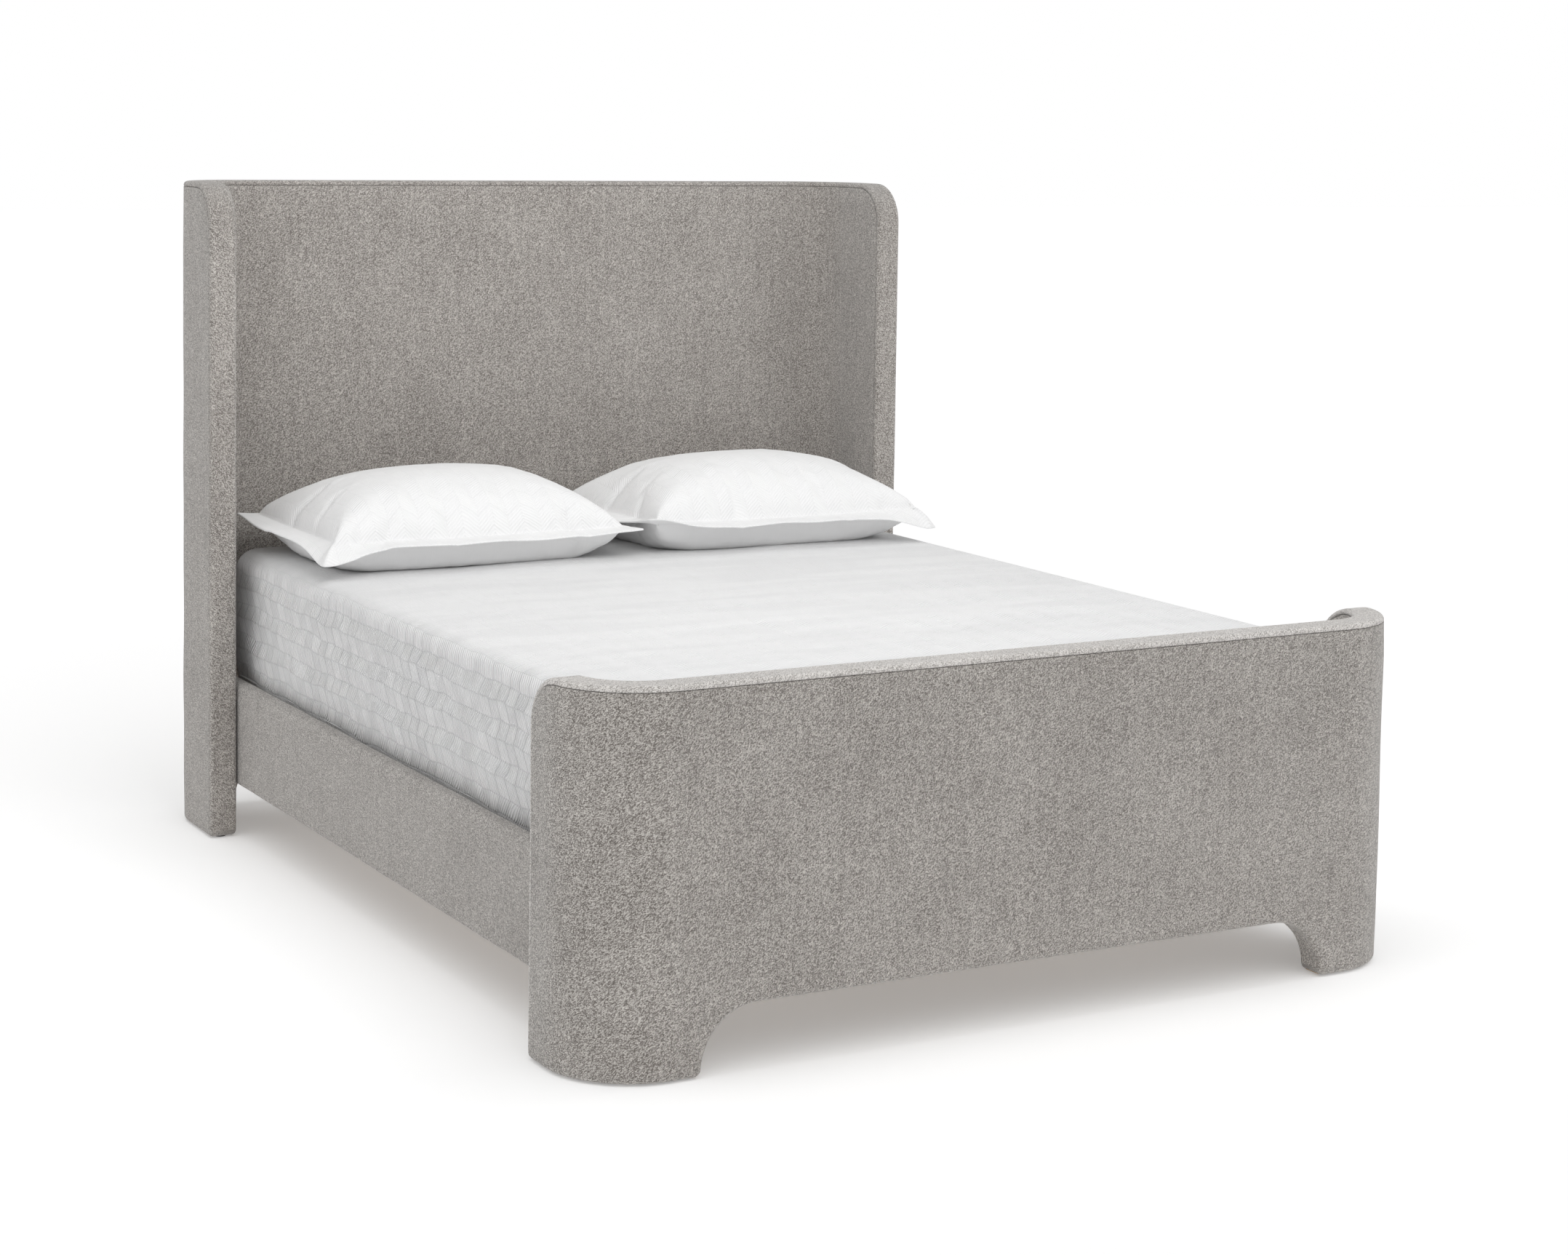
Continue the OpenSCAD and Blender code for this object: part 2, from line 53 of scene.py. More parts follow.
def makeCamera(c):
    # the lens looks along a line turned by turn and dipped by dip, and rolls about it
    data = bpy.data.cameras.new("bedCamera")
    data.lens, data.sensor_width, data.shift_y = c["lens"], c["sensor"], c["drop"]
    camera = bpy.data.objects.new("bedCamera", data)
    bpy.context.scene.collection.objects.link(camera)
    st, ct, sd, cd = math.sin(c["turn"]), math.cos(c["turn"]), math.sin(c["dip"]), math.cos(c["dip"])
    right, ahead, up = Vector((ct, -st, 0)), Vector((st * cd, ct * cd, -sd)), Vector((st * sd, ct * sd, cd))
    sr, cr = math.sin(c["roll"]), math.cos(c["roll"])
    across, upward = right * cr + up * sr, up * cr - right * sr
    camera.matrix_world = Matrix.Translation(c["place"]) @ Matrix((across, upward, -ahead)).transposed().to_4x4()
    bpy.context.scene.camera = camera


makeCamera(cameraSetup)


class Wire:                                    # a node's output, so that shader maths reads as sums
    def __init__(self, bench, socket):
        self.bench, self.socket = bench, socket

    def __add__(self, other): return self.bench.maths("ADD", self, other)
    def __radd__(self, other): return self.bench.maths("ADD", other, self)
    def __sub__(self, other): return self.bench.maths("SUBTRACT", self, other)
    def __rsub__(self, other): return self.bench.maths("SUBTRACT", other, self)
    def __mul__(self, other): return self.bench.maths("MULTIPLY", self, other)
    def __rmul__(self, other): return self.bench.maths("MULTIPLY", other, self)
    def __truediv__(self, other): return self.bench.maths("DIVIDE", self, other)
    def __rtruediv__(self, other): return self.bench.maths("DIVIDE", other, self)
    def __mod__(self, other): return self.bench.maths("FLOORED_MODULO", self, other)
    def __rmod__(self, other): return self.bench.maths("FLOORED_MODULO", other, self)


class Bench:                                   # one finish and the nodes that make it
    def __init__(self, name, **fixed):
        self.finish = bpy.data.materials.new(name)
        self.finish.use_nodes = True
        self.tree = self.finish.node_tree
        self.shader = self.tree.nodes["Principled BSDF"]
        for key, value in fixed.items():       # the same all over, so set on the socket itself
            self.shader.inputs[key.replace("_", " ")].default_value = value

    def add(self, kind, settings=None, sockets=None, out=0):
        node = self.tree.nodes.new(kind)
        for key, value in (settings or {}).items():
            if key == "stops":
                ramp = node.color_ramp
                while len(ramp.elements) < len(value):
                    ramp.elements.new(0.5)
                for stop, (place, color) in zip(ramp.elements, value):
                    stop.position, stop.color = place, color
            else:
                setattr(node, key, value)
        for key, value in (sockets or {}).items():
            if isinstance(value, Wire):
                self.tree.links.new(value.socket, node.inputs[key])
            else:
                node.inputs[key].default_value = value
        return Wire(self, node.outputs[out])

    def maths(self, what, a, b=0.0):
        return self.add("ShaderNodeMath", {"operation": what}, {0: a, 1: b})

    def smooth(self, value, low, high):        # 0 below low, 1 above high, eased between
        return self.add("ShaderNodeMapRange", {"interpolation_type": "SMOOTHSTEP"},
                        {0: value, 1: low, 2: high, 3: 0.0, 4: 1.0})

    def mix(self, share, a, b, how="MIX"):
        return self.add("ShaderNodeMix", {"data_type": "RGBA", "blend_type": how},
                        {0: share, 6: a, 7: b}, 2)

    def split(self, vector):
        node = self.add("ShaderNodeSeparateXYZ", None, {0: vector}).socket.node
        return [Wire(self, o) for o in node.outputs]

    def join(self, x, y, z=0.0):
        return self.add("ShaderNodeCombineXYZ", None, {0: x, 1: y, 2: z})

    def place(self, which):
        return self.add("ShaderNodeTexCoord", None, None, which)

    def noise(self, where, scale, detail=2.0, rough=0.5, flat=False):
        return self.add("ShaderNodeTexNoise", {"noise_dimensions": "2D" if flat else "3D"},
                        {"Vector": where, "Scale": scale, "Detail": detail, "Roughness": rough})

    def use(self, color, rough=None, bump=None, height=0.001, strength=1.0):
        self.tree.links.new(color.socket, self.shader.inputs["Base Color"])
        if rough is not None:
            self.tree.links.new(rough.socket, self.shader.inputs["Roughness"])
        if bump is not None:
            normal = self.add("ShaderNodeBump", None,
                              {"Strength": strength, "Distance": height, "Height": bump})
            self.tree.links.new(normal.socket, self.shader.inputs["Normal"])
        return self.finish


weaveLook = {
    "yarn": (0.0022, 0.0013),                  # length and width of a nub
    "dark": (0.135, 0.119, 0.104, 1), "middle": (0.375, 0.348, 0.325, 1), "light": (0.78, 0.745, 0.70, 1),
    "height": 0.0010,
}


def weaveFinish(name, look):
    # nubs are cells stretched along the twill line, each of its own shade, with fuzz and slow fading over them
    b = Bench(name, Roughness=0.9, Sheen_Weight=0.55, Sheen_Roughness=0.4, Specular_IOR_Level=0.15)
    u, v, _ = b.split(b.place("UV"))
    wander = b.noise(b.join(u, v), 140.0, 2, 0.5, True)
    along, over = u + v, v - u
    spot = b.join(along * (0.707 / look["yarn"][0]) + wander * 0.9, over * (0.707 / look["yarn"][1]) + wander * 0.9)
    nub = b.add("ShaderNodeTexVoronoi", {"voronoi_dimensions": "2D", "feature": "F1"},
                {"Vector": spot, "Scale": 1.0, "Randomness": 0.95})
    tint = Wire(b, nub.socket.node.outputs["Color"])
    shade, other, _ = b.split(tint)
    fuzz = b.noise(b.join(u, v), 1500.0, 2, 0.6, True)
    column = b.noise(b.join(u * 75.0, v * 7.0), 1.0, 2, 0.5, True)
    cloud = b.noise(b.join(u, v), 5.0, 2, 0.5, True)
    crown = 1.0 - b.smooth(nub, 0.1, 0.75)
    tone = shade * 0.62 + crown * 0.28 + fuzz * 0.20 + column * 0.12 + cloud * 0.12 - 0.18
    stops = [(0.12, look["dark"]), (0.50, look["middle"]), (0.90, look["light"])]
    color = b.add("ShaderNodeValToRGB", {"stops": stops}, {0: tone})
    bump = crown * (0.55 + other * 0.45) + fuzz * 0.25
    return b.use(color, 0.82 + fuzz * 0.16, bump, look["height"], 0.85)


quiltLook = {"rib": 0.0066, "block": 0.034, "row": 0.042, "slant": 0.75, "height": 0.0048}


def quiltFinish(name, look, white, shade, hang=None):
    # ribs run up one way in one column and back in the next, and break into blocks along slack lines;
    # where the cloth hangs over a side the relief stands out, on top it is pressed flat;
    # the colour carries painted shade in the rib valleys, quilting lines, alternate blocks and crease valleys,
    # stronger over the sides, and on the coverlet a painted darker top
    b = Bench(name, Roughness=0.85, Sheen_Weight=0.12, Sheen_Roughness=0.6, Specular_IOR_Level=0.2)
    u, v, _ = b.split(b.place("UV"))
    sway = b.noise(b.join(u, v), 9.0, 2, 0.5, True)
    across, up = u + sway * 0.016, v + sway * 0.020
    zig = b.maths("PINGPONG", across, look["block"])
    level = up + zig * look["slant"]
    rib = b.maths("SINE", level * (2 * math.pi / look["rib"] / math.sqrt(1 + look["slant"] ** 2)))
    step = b.maths("PINGPONG", level, look["row"])
    quilt = b.smooth(step, 0.0, 0.005) * b.smooth(look["row"] - step, 0.0, 0.005)
    edge = b.smooth(zig, 0.0, 0.003) * b.smooth(look["block"] - zig, 0.0, 0.003)
    column, row = (b.maths("FLOOR", w / look[k]) % 2.0 for w, k in ((across, "block"), (level, "row")))
    paintedBlockShade = b.maths("ABSOLUTE", column - row)
    patch = b.noise(b.join(u, v), 26.0, 2, 0.5, True)
    weave = b.noise(b.join(u, v), 1300.0, 2, 0.6, True)
    crease = b.noise(b.join(u * 2.4, v * 11.0), 1.0, 3, 0.5, True)
    # where hang is given, (1 - over) in the colour paints the top darker than the hanging sides: painted shade on the
    # top, which takes more light than the sides
    over = b.smooth(b.maths("ABSOLUTE", u), *hang) if hang else 0.6
    relief = over * 0.6 + 0.4
    height = (rib * (0.25 + patch * 0.4) + quilt * 0.35 + edge * 0.30) * relief + weave * 0.20 + crease * 0.7
    # painted shade: darker rib valleys, darker quilting lines, and alternate blocks darker as if their ribs faced
    # away from the light, stronger over the sides
    paintedShade = (1.0 - b.smooth(rib, -0.8, 0.6)) * 0.44 + (paintedBlockShade * 0.15 + (1.0 - quilt * edge) * 0.34) * over
    # painted shade in the crease valleys
    color = b.mix(paintedShade * relief + b.smooth(crease, 0.62, 0.35) * 0.12 + (1.0 - over) * 0.22, white, shade)
    return b.use(color, 0.80 + weave * 0.15, height, look["height"], 0.8)


def sateenFinish(name, white, stripe=None):
    # plain close cloth with slow slubs, and fine stripes where it is ticking
    b = Bench(name, Roughness=0.75, Sheen_Weight=0.1, Specular_IOR_Level=0.25)
    u, v, _ = b.split(b.place("UV"))
    weave = b.noise(b.join(u * 1400.0, v * 900.0), 1.0, 2, 0.6, True)
    slub = b.noise(b.join(u * 260.0, v * 18.0), 1.0, 2, 0.5, True)
    color = b.mix(slub * 0.35 + weave * 0.2, white, tuple(c * 0.90 for c in white[:3]) + (1,))
    if stripe:
        line = b.smooth(b.maths("PINGPONG", u, 0.009), 0.0078, 0.0084)
        color = b.mix(line * 0.8, color, stripe)
    return b.use(color, 0.68 + weave * 0.2, weave + slub * 0.5, 0.0005, 0.5)


def woodFinish(name, light, dark, grain, layers=False):
    # rings stretched along the grain, fine pores, and glue lines on bent ply
    b = Bench(name, Roughness=0.55, Specular_IOR_Level=0.4)
    xyz = b.split(b.place("Object"))
    pull = [1.0, 1.0, 1.0]
    pull[grain] = 0.06
    x, y, z = [c * p for c, p in zip(xyz, pull)]
    where = b.join(x, y, z)
    warp = b.noise(where, 6.0, 3, 0.5)
    ring = b.add("ShaderNodeTexWave", {"wave_type": "RINGS", "rings_direction": "XYZ"[grain]},
                 {"Vector": b.join(x + warp * 0.08, y + warp * 0.08, z + warp * 0.08), "Scale": 22.0,
                  "Distortion": 3.0, "Detail": 2.0})
    pore = b.noise(where, 420.0, 2, 0.6)
    tone = ring * 0.45 + b.noise(where, 40.0, 2, 0.5) * 0.35 + pore * 0.2
    color = b.mix(tone, light, dark)
    if layers:
        line = b.smooth(b.maths("PINGPONG", xyz[1] + xyz[0] * 0.2, 0.0018), 0.0013, 0.0016)
        color = b.mix(line * 0.35, color, tuple(c * 0.55 for c in dark[:3]) + (1,))
    return b.use(color, 0.5 + pore * 0.2, pore * 0.5 + ring * 0.2, 0.0004, 0.6)


def metalFinish(name, color, rough, worn):
    # rolled sheet with faint drag lines and duller patches
    b = Bench(name, Metallic=0.9)
    x, y, z = b.split(b.place("Object"))
    drag = b.noise(b.join(x * 40.0, y * 900.0, z * 900.0), 1.0, 2, 0.5)
    patch = b.noise(b.join(x, y, z), 60.0, 3, 0.55)
    return b.use(b.mix(patch * 0.7, color, worn), rough + patch * 0.22 + drag * 0.08, drag * 0.4 + patch, 0.0003, 0.4)


def nylonFinish(name, color):
    # fine grain with paler scuffs
    b = Bench(name, Specular_IOR_Level=0.4)
    spot = b.place("Object")
    grain = b.noise(spot, 900.0, 2, 0.6)
    scuff = b.noise(spot, 70.0, 3, 0.6)
    pale = tuple(min(1, c * 1.7 + 0.03) for c in color[:3]) + (1,)
    return b.use(b.mix(scuff * 0.5, color, pale), 0.5 + grain * 0.25, grain, 0.0003, 0.5)


def webbingFinish(name):
    # two rows of warp floats on a narrow woven tape
    b = Bench(name, Roughness=0.85, Specular_IOR_Level=0.2)
    x, y, z = b.split(b.place("Object"))
    weft = b.maths("SINE", y * (2 * math.pi / 0.0021))
    warp = b.maths("SINE", x * (2 * math.pi / 0.0017))
    soil = b.noise(b.join(x, y, z), 30.0, 2, 0.5)
    weave = weft * warp
    color = b.mix(soil * 0.5 + weave * 0.15, (0.72, 0.71, 0.68, 1), (0.5, 0.49, 0.46, 1))
    return b.use(color, 0.8 + soil * 0.1, weave, 0.0005, 0.7)


upholstery = weaveFinish("heatherUpholstery", weaveLook)
# the footboard's top band is the same weave painted lighter: painted sheen and painted light from above on the
# upward-facing band
crownPaintedSheenLook = dict(weaveLook, dark=(0.27, 0.25, 0.23, 1), middle=(0.69, 0.66, 0.63, 1), light=(0.96, 0.93, 0.90, 1))
crownUpholsteryPaintedSheen = weaveFinish("crownUpholsteryPaintedSheen", crownPaintedSheenLook)
# the second colour of each quilting is the painted shade mixed into its ribs, lines, blocks and creases, and on the
# coverlet into its top
quilting = quiltFinish("coverletQuilting", quiltLook, (0.985, 0.985, 0.983, 1), (0.68, 0.68, 0.69, 1),
                       hang=(0.725, 0.80))
shamLook = dict(quiltLook, rib=0.0054, height=0.0012)
shamQuilting = quiltFinish("shamQuilting", shamLook, (0.89, 0.89, 0.888, 1), (0.80, 0.80, 0.803, 1))
# the backing's white is set brighter than the quilted face to stand in for light bounced up from the coverlet onto
# the sham's shaded underside: painted light
plainWhite = sateenFinish("shamBacking", (0.94, 0.94, 0.94, 1))
ticking = sateenFinish("mattressTicking", (0.78, 0.78, 0.77, 1), (0.45, 0.50, 0.58, 1))
pillowTicking = sateenFinish("pillowTicking", (0.80, 0.79, 0.77, 1), (0.40, 0.46, 0.58, 1))
pineAlong = woodFinish("pineAlong", (0.62, 0.43, 0.24, 1), (0.42, 0.25, 0.11, 1), 1)
pineAcross = woodFinish("pineAcross", (0.64, 0.45, 0.26, 1), (0.44, 0.27, 0.12, 1), 0)
pineUp = woodFinish("pineUpright", (0.60, 0.42, 0.23, 1), (0.40, 0.24, 0.11, 1), 2)
plywood = woodFinish("birchPly", (0.60, 0.44, 0.27, 1), (0.43, 0.29, 0.15, 1), 2, True)
zinc = metalFinish("zincSteel", (0.56, 0.57, 0.59, 1), 0.28, (0.38, 0.39, 0.40, 1))
blackSteel = metalFinish("blackSteel", (0.030, 0.031, 0.034, 1), 0.42, (0.065, 0.065, 0.068, 1))
nylon = nylonFinish("darkNylon", (0.022, 0.022, 0.024, 1))
webbing = webbingFinish("slatWebbing")
print("finishes made")


def gridQuads(start, shape, flip):
    # four neighbours of a numbered grid make a quad
    number = start + np.arange(shape[0] * shape[1]).reshape(shape)
    quads = np.stack([number[:-1, :-1], number[:-1, 1:], number[1:, 1:], number[1:, :-1]], -1).reshape(-1, 4)
    return quads[:, ::-1] if flip else quads


def makePiece(name, body, sheets, finishes, replaces=(), closed=True, weld=2e-6):
    # each sheet is a grid of points with its own cloth coordinates; where sheets meet, they are welded
    points, coords, quads, which, start = [], [], [], [], 0
    for s in sheets:
        shape = s["points"].shape[:2]
        points.append(s["points"].reshape(-1, 3))
        coords.append(s["uv"].reshape(-1, 2))
        quads.append(gridQuads(start, shape, s.get("flip", False)))
        which.append(np.full(len(quads[-1]), s.get("finish", 0), dtype=np.int32))
        start += shape[0] * shape[1]
    points, coords, quads, which = (np.concatenate(a) for a in (points, coords, quads, which))
    mesh = bpy.data.meshes.new(name)
    mesh.from_pydata(points.tolist(), [], quads.tolist())
    mesh.uv_layers.new(name="cloth").data.foreach_set("uv", coords[quads.ravel()].astype(np.float32).ravel())
    mesh.polygons.foreach_set("material_index", which)
    work = bmesh.new()
    work.from_mesh(mesh)
    bmesh.ops.remove_doubles(work, verts=work.verts, dist=weld)
    if closed:
        bmesh.ops.recalc_face_normals(work, faces=work.faces)
        if work.calc_volume(signed=True) < 0:
            bmesh.ops.reverse_faces(work, faces=work.faces)
    work.to_mesh(mesh)
    work.free()
    mesh.polygons.foreach_set("use_smooth", np.ones(len(mesh.polygons), dtype=bool))
    piece = bpy.data.objects.new(name, mesh)
    bpy.context.scene.collection.objects.link(piece)
    for finish in finishes:
        mesh.materials.append(finish)
    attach(piece, body)
    if replaces:
        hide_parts(*replaces)
    return piece


def slowWaves(p, q, seed, size, amount):
    # a sum of a few seeded sine waves in random directions, about size long
    draw = np.random.default_rng(seed)
    angle, phase, pitch = draw.uniform(0, math.pi, 7), draw.uniform(0, 2 * math.pi, 7), draw.uniform(0.7, 1.6, 7)
    total = np.zeros_like(p)
    for a, f, k in zip(angle, phase, pitch):
        total = total + np.sin((p * math.cos(a) + q * math.sin(a)) * 2 * math.pi * k / size + f)
    return total * amount / 2.6


def ease(x):
    # 0 up to 0, 1 from 1 on, and the smooth cubic between
    x = np.clip(x, 0, 1)
    return x * x * (3 - 2 * x)


def fillGrid(bottom, top, left, right):
    # a surface stretched between four edges: the two ruled ones added, less the flat one between the corners
    a = ((bottom[:, 0] - bottom[0, 0]) / (bottom[-1, 0] - bottom[0, 0]))[None, :, None]
    b = ((left[:, 1] - left[0, 1]) / (left[-1, 1] - left[0, 1]))[:, None, None]
    ruled = (1 - b) * bottom[None] + b * top[None] + (1 - a) * left[:, None] + a * right[:, None]
    flat = (1 - a) * (1 - b) * bottom[0] + a * (1 - b) * bottom[-1] + (1 - a) * b * top[0] + a * b * top[-1]
    return ruled - flat, a[..., 0], b[..., 0]


def aroundEdges(bottom, top, left, right):
    # the four edges of a grid as one closed loop
    return np.concatenate([bottom[:-1], right[:-1], top[::-1][:-1], left[::-1]])


panelForm = {
    "half": 0.710, "bend": 0.130, "centre": 0.958,   # straight half width, bend of the middle, its centre
    "thick": 0.060, "edge": 0.0095, "foot": 0.003, "round": 0.014,
    "archHigh": 0.116, "archRound": 0.106, "topRound": 0.095, "seamIn": 0.011,
}
headForm = dict(panelForm, name="headboard", high=1.436, tip=0.797, leg=0.7301, rows=46, side=1, seed=3)
footForm = dict(panelForm, name="footboard", high=0.668, tip=0.889, leg=0.653, rows=30, side=-1, seed=8)


def panelEdges(f, inset):
    # outline of an unrolled panel, its lines and arcs joined in turn; inset moves every point in along its normal
    reach = f["half"] + f["bend"] * math.pi / 2 + f["centre"] - f["tip"]
    r, low, big = f["round"], f["foot"], f["topRound"]
    archS, archZ, archR = f["leg"] - f["archRound"], f["archHigh"] - f["archRound"], f["archRound"]
    footZ = low + r
    footS = archS + math.sqrt((archR + r) ** 2 - (footZ - archZ) ** 2)
    meet = math.atan2(footZ - archZ, footS - archS)
    count = 14
    tipArc = np.radians(np.linspace(-45, -90, 4))
    tipS = np.linspace(reach - r, reach - big, count - 3)[1:]
    lineS = np.linspace(reach - big, footS, max(6, int((reach - big - footS) / 0.009)))[1:]
    footArc = np.linspace(-math.pi / 2, -math.pi + meet, 6)[1:]
    archArc = np.linspace(meet, math.pi / 2, 18)[1:]
    flatS = np.linspace(archS, 0, int(archS / 0.03))[1:]

    def arc(cs, cz, radius, angles):
        return np.stack([cs + radius * np.cos(angles), cz + radius * np.sin(angles)], 1)

    def line(s, z):
        return np.stack([s, np.full(len(s), z)], 1)

    half = np.concatenate([arc(reach - r, low + r, r - inset, tipArc), line(tipS, low + inset),
                           line(lineS, low + inset), arc(footS, footZ, r - inset, footArc),
                           arc(archS, archZ, archR + inset, archArc), line(flatS, f["archHigh"] + inset)])
    plain = np.concatenate([lineS, footS + r * np.cos(footArc), archS + archR * np.cos(archArc), flatS])
    topArc = np.linspace(0, math.pi / 2, count)
    crown = np.concatenate([arc(reach - big, f["high"] - big, big - inset, topArc), line(plain, f["high"] - inset)])
    sideArc = np.radians(np.linspace(-45, 0, 4))
    sideZ = np.linspace(low + r, f["high"] - big, f["rows"])[1:]
    upright = np.stack([np.full(len(sideZ), reach - inset), sideZ], 1)
    side = np.concatenate([arc(reach - r, low + r, r - inset, sideArc), upright])
    flip = np.array([-1.0, 1.0])
    bottom = np.concatenate([half * flip, half[::-1][1:]])
    top = np.concatenate([crown * flip, crown[::-1][1:]])
    return bottom, top, side * flip, side


def bendPanel(f, flat, off):
    # the unrolled panel runs straight over half, round a quarter circle, then straight to the tip;
    # off is the distance outwards from its middle surface
    s, z = flat[..., 0], flat[..., 1]
    turn = np.clip((np.abs(s) - f["half"]) / f["bend"], 0, math.pi / 2)
    past = np.maximum(np.abs(s) - f["half"] - f["bend"] * math.pi / 2, 0)
    x = np.sign(s) * (np.minimum(np.abs(s), f["half"]) + (f["bend"] + off) * np.sin(turn))
    y = f["centre"] + (f["bend"] + off) * np.cos(turn) - past
    return np.stack([x, y * f["side"], z], -1)


def panelSheets(f):
    # two faces and a rim; the rim's profile dips into a seam, then rounds the edge
    wall, e, seam = f["thick"] / 2, f["edge"], f["seamIn"]
    rim = [(seam + 0.0013, wall), (seam + 0.0009, wall - 0.0003), (seam + 0.0006, wall - 0.0022),
           (seam, wall - 0.0027), (seam - 0.0004, wall - 0.0022), (seam - 0.0008, wall - 0.0002)]
    for a in np.linspace(0, math.pi / 2, 7)[1:]:
        rim.append((e * (1 - math.sin(a)), wall + 0.0002 - e * (1 - math.cos(a))))
    rim = rim + [(0.0, 0.007), (0.0, 0.0)]
    rim = rim + [(i, -t) for i, t in rim[::-1][1:]]
    rings, walks, walk = [], [], 0.0
    base = panelEdges(f, 0.0)
    out = (aroundEdges(*base) - aroundEdges(*panelEdges(f, 0.001))) / 0.001
    columns = len(base[0])
    sewn = np.ones(len(out))                       # the seam runs up the tips and over the top
    fade = 8
    sewn[:columns] = 0
    sewn[columns:columns + fade] = np.linspace(0, 1, fade)
    sewn[-fade:] = np.linspace(1, 0, fade)
    last = None
    for i, t in rim:
        loop = aroundEdges(*panelEdges(f, i))
        depth = (wall - abs(t)) * np.where((i > e) & (abs(t) < wall), sewn, 1.0)
        off = np.sign(t) * (wall - depth)
        here = (i, t)
        walk += math.dist(here, last) if last else 0.0
        last = here
        rings.append(bendPanel(f, loop, off + slowWaves(loop[:, 0], loop[:, 1], f["seed"], 0.35, 0.0003)))
        walks.append(aroundEdges(*panelEdges(f, rim[0][0])) + out * walk)
    rings, walks = np.stack(rings), np.stack(walks)
    faces = []
    edges = panelEdges(f, rim[0][0])
    grid, a, b = fillGrid(*edges)
    soft = ease(np.minimum(a, 1 - a) * 14) * ease(np.minimum(b, 1 - b) * 8)
    ripple = slowWaves(grid[..., 0], grid[..., 1], f["seed"] + 1, 0.28, 0.0007) * soft
    border = slowWaves(grid[..., 0], grid[..., 1], f["seed"], 0.35, 0.0003)
    for sign in (1, -1):
        crown = sign * (wall + 0.0016 * soft + ripple) + border
        faces.append({"points": bendPanel(f, grid, crown), "uv": grid + (0 if sign > 0 else 3.0),
                      "flip": sign * f["side"] < 0})
    return faces, rings, walks, columns


def rimSheet(rings, walks, first, last, start=0, stop=None):
    # some rings of the rim, along some of its length
    return {"points": rings[first:last, start:stop], "uv": walks[first:last, start:stop]}


headFaces, headRings, headWalks = panelSheets(headForm)[:3]
makePiece("headboard_upholstery", "bed_frame", headFaces + [rimSheet(headRings, headWalks, 0, None)],
          [upholstery], ["headboard_cover", "headboard_foam"])
print("headboard covered")

footFaces, footRings, footWalks, footColumns = panelSheets(footForm)
lastRing, seamRing = len(footRings), 3
footParts = footFaces + [rimSheet(footRings, footWalks, 0, None, 0, footColumns),
                         rimSheet(footRings, footWalks, 0, seamRing + 1, footColumns - 1),
                         rimSheet(footRings, footWalks, lastRing - seamRing - 1, None, footColumns - 1)]
bandPart = rimSheet(footRings, footWalks, seamRing, lastRing - seamRing, footColumns - 1)


def openCover(name, sheets, finish, replaces):
    # a cover left open along a seam, so given the thickness of its cloth
    piece = makePiece(name, "bed_frame", sheets, [finish], replaces, closed=False)
    wall = piece.modifiers.new("cloth", "SOLIDIFY")
    wall.thickness, wall.offset = 0.0018, -1.0
    return piece


def facesOut(sheet, middle):
    # true if a strip's quads look away from the middle line of the panel
    p = sheet["points"]
    normal = np.cross(p[:-1, 1:] - p[:-1, :-1], p[1:, :-1] - p[:-1, :-1]).reshape(-1, 3)
    centre = p[:-1, :-1].reshape(-1, 3) - middle(p[:-1, :-1].reshape(-1, 3))
    return float((normal * centre).sum()) > 0


def panelMiddle(f):
    # nearest point of the panel's bent middle surface, pulled in from its edges
    def nearest(p):
        x, y, z = np.abs(p[:, 0]), p[:, 1] * f["side"], p[:, 2]
        turn = np.arctan2(np.maximum(x - f["half"], 0), np.maximum(y - f["centre"], 1e-6))
        inWing = y < f["centre"]
        turn = np.where(inWing, math.pi / 2, turn)
        cx = np.minimum(x, f["half"]) + f["bend"] * np.sin(np.where(x > f["half"], turn, 0))
        wing = np.where(inWing, np.maximum(y, f["tip"] + f["thick"] / 2), f["centre"] + f["bend"] * np.cos(turn))
        cy = np.where(x > f["half"], wing, f["centre"] + f["bend"])
        cz = np.clip(z, f["archHigh"] + 0.03, f["high"] - 0.1)
        return np.stack([np.sign(p[:, 0]) * cx, cy * f["side"], cz], 1)
    return nearest


for part in footParts + [bandPart]:
    part["flip"] = not facesOut(part, panelMiddle(footForm))
openCover("footboard_upholstery", footParts, upholstery, ["footboard_cover", "footboard_foam"])
openCover("footboard_welt_band", [bandPart], crownUpholsteryPaintedSheen, ["footboard_top_band"])
print("footboard covered")

railForm = {
    "inner": 0.769, "outer": 0.806, "low": 0.114, "high": 0.338, "end": 0.982,
    "topRound": 0.0145, "lowRound": 0.0055, "endRound": 0.004,
}


def roundedSection(x0, x1, z0, z1, rounds, arcSteps, sideSteps):
    # a rectangle walked round once, with a quarter circle at each corner
    corners = [(x1 - rounds[0], z0 + rounds[0], -90, rounds[0]), (x1 - rounds[1], z1 - rounds[1], 0, rounds[1]),
               (x0 + rounds[2], z1 - rounds[2], 90, rounds[2]), (x0 + rounds[3], z0 + rounds[3], 180, rounds[3])]
    arcs = []
    for cx, cz, start, r in corners:
        a = np.radians(np.linspace(start, start + 90, arcSteps))
        arcs.append(np.stack([cx + r * np.cos(a), cz + r * np.sin(a)], 1))
    out = []
    for here, after in zip(arcs, arcs[1:] + arcs[:1]):
        share = np.linspace(0, 1, sideSteps + 2)[1:-1, None]
        out += [here, here[-1] * (1 - share) + after[0] * share]
    path = np.concatenate(out)
    return np.concatenate([path, path[:1]])


